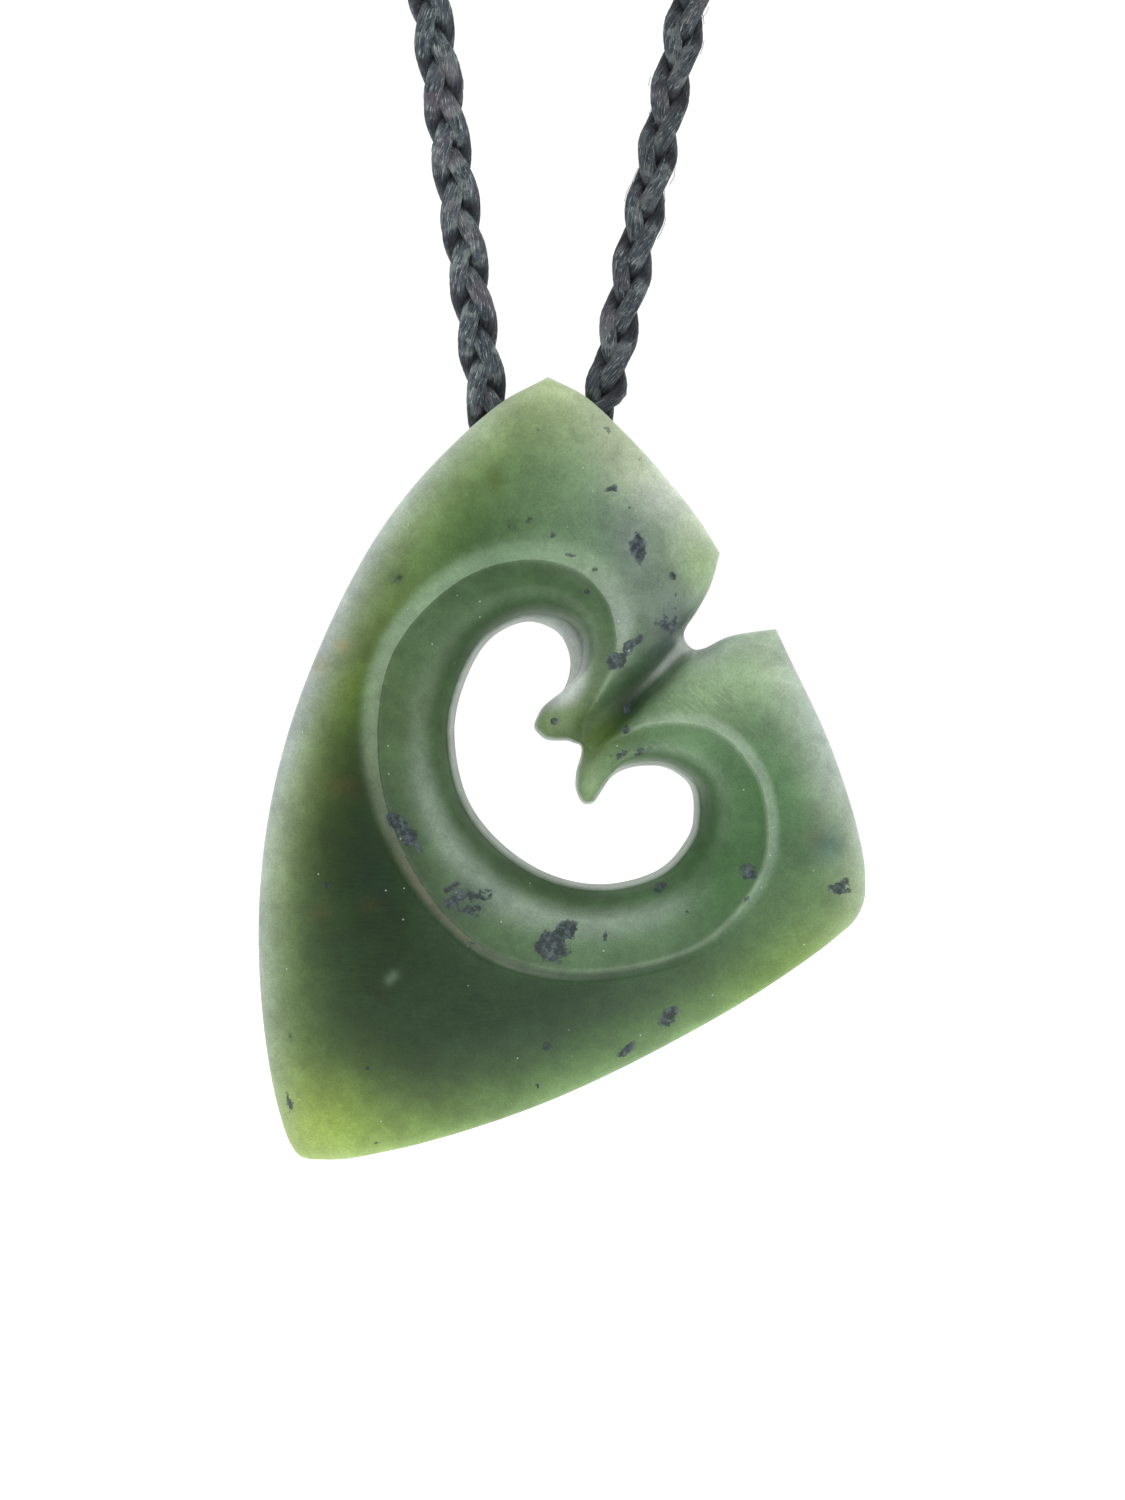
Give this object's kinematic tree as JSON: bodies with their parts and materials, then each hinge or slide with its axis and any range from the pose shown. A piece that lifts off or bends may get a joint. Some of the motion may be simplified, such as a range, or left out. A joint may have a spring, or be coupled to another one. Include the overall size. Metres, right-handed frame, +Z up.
{
  "type": "fish hook pendant necklace",
  "caption": "Carved greenstone fish hook pendant with a pierced middle and barbs, hanging on a closed loop of thin dark braided cord.",
  "frame": {"origin": "where the necklace hangs: the underside of the binding at the top of the loop, in the middle of its length and width", "axes": "+Z up; the carved face looks along -Y; +X is to the right as seen from the carved face"},
  "size_m": [0.0875, 0.0076, 0.3147],
  "materials": {
    "stone": "satin polished translucent nephrite with dark inclusions",
    "cord": "waxed cotton yarns, matte",
    "binding": "wound waxed thread, matte"
  },
  "bodies": {
    "neck_cord": {"strand_one_top": "cord", "strand_one_low": "cord", "strand_two_top": "cord", "strand_two_low": "cord", "strand_three_top": "cord", "strand_three_low": "cord", "end_binding": "binding"},
    "stone": {"hook_stone": "stone"}
  },
  "joints": [
    {"name": "stone_swing", "type": "hinge", "parent": "neck_cord", "child": "stone", "pos_m": [-0.00777, 0, -0.25934], "axis": [1, 0, 0], "range_deg": [-4, 60]}
  ]
}
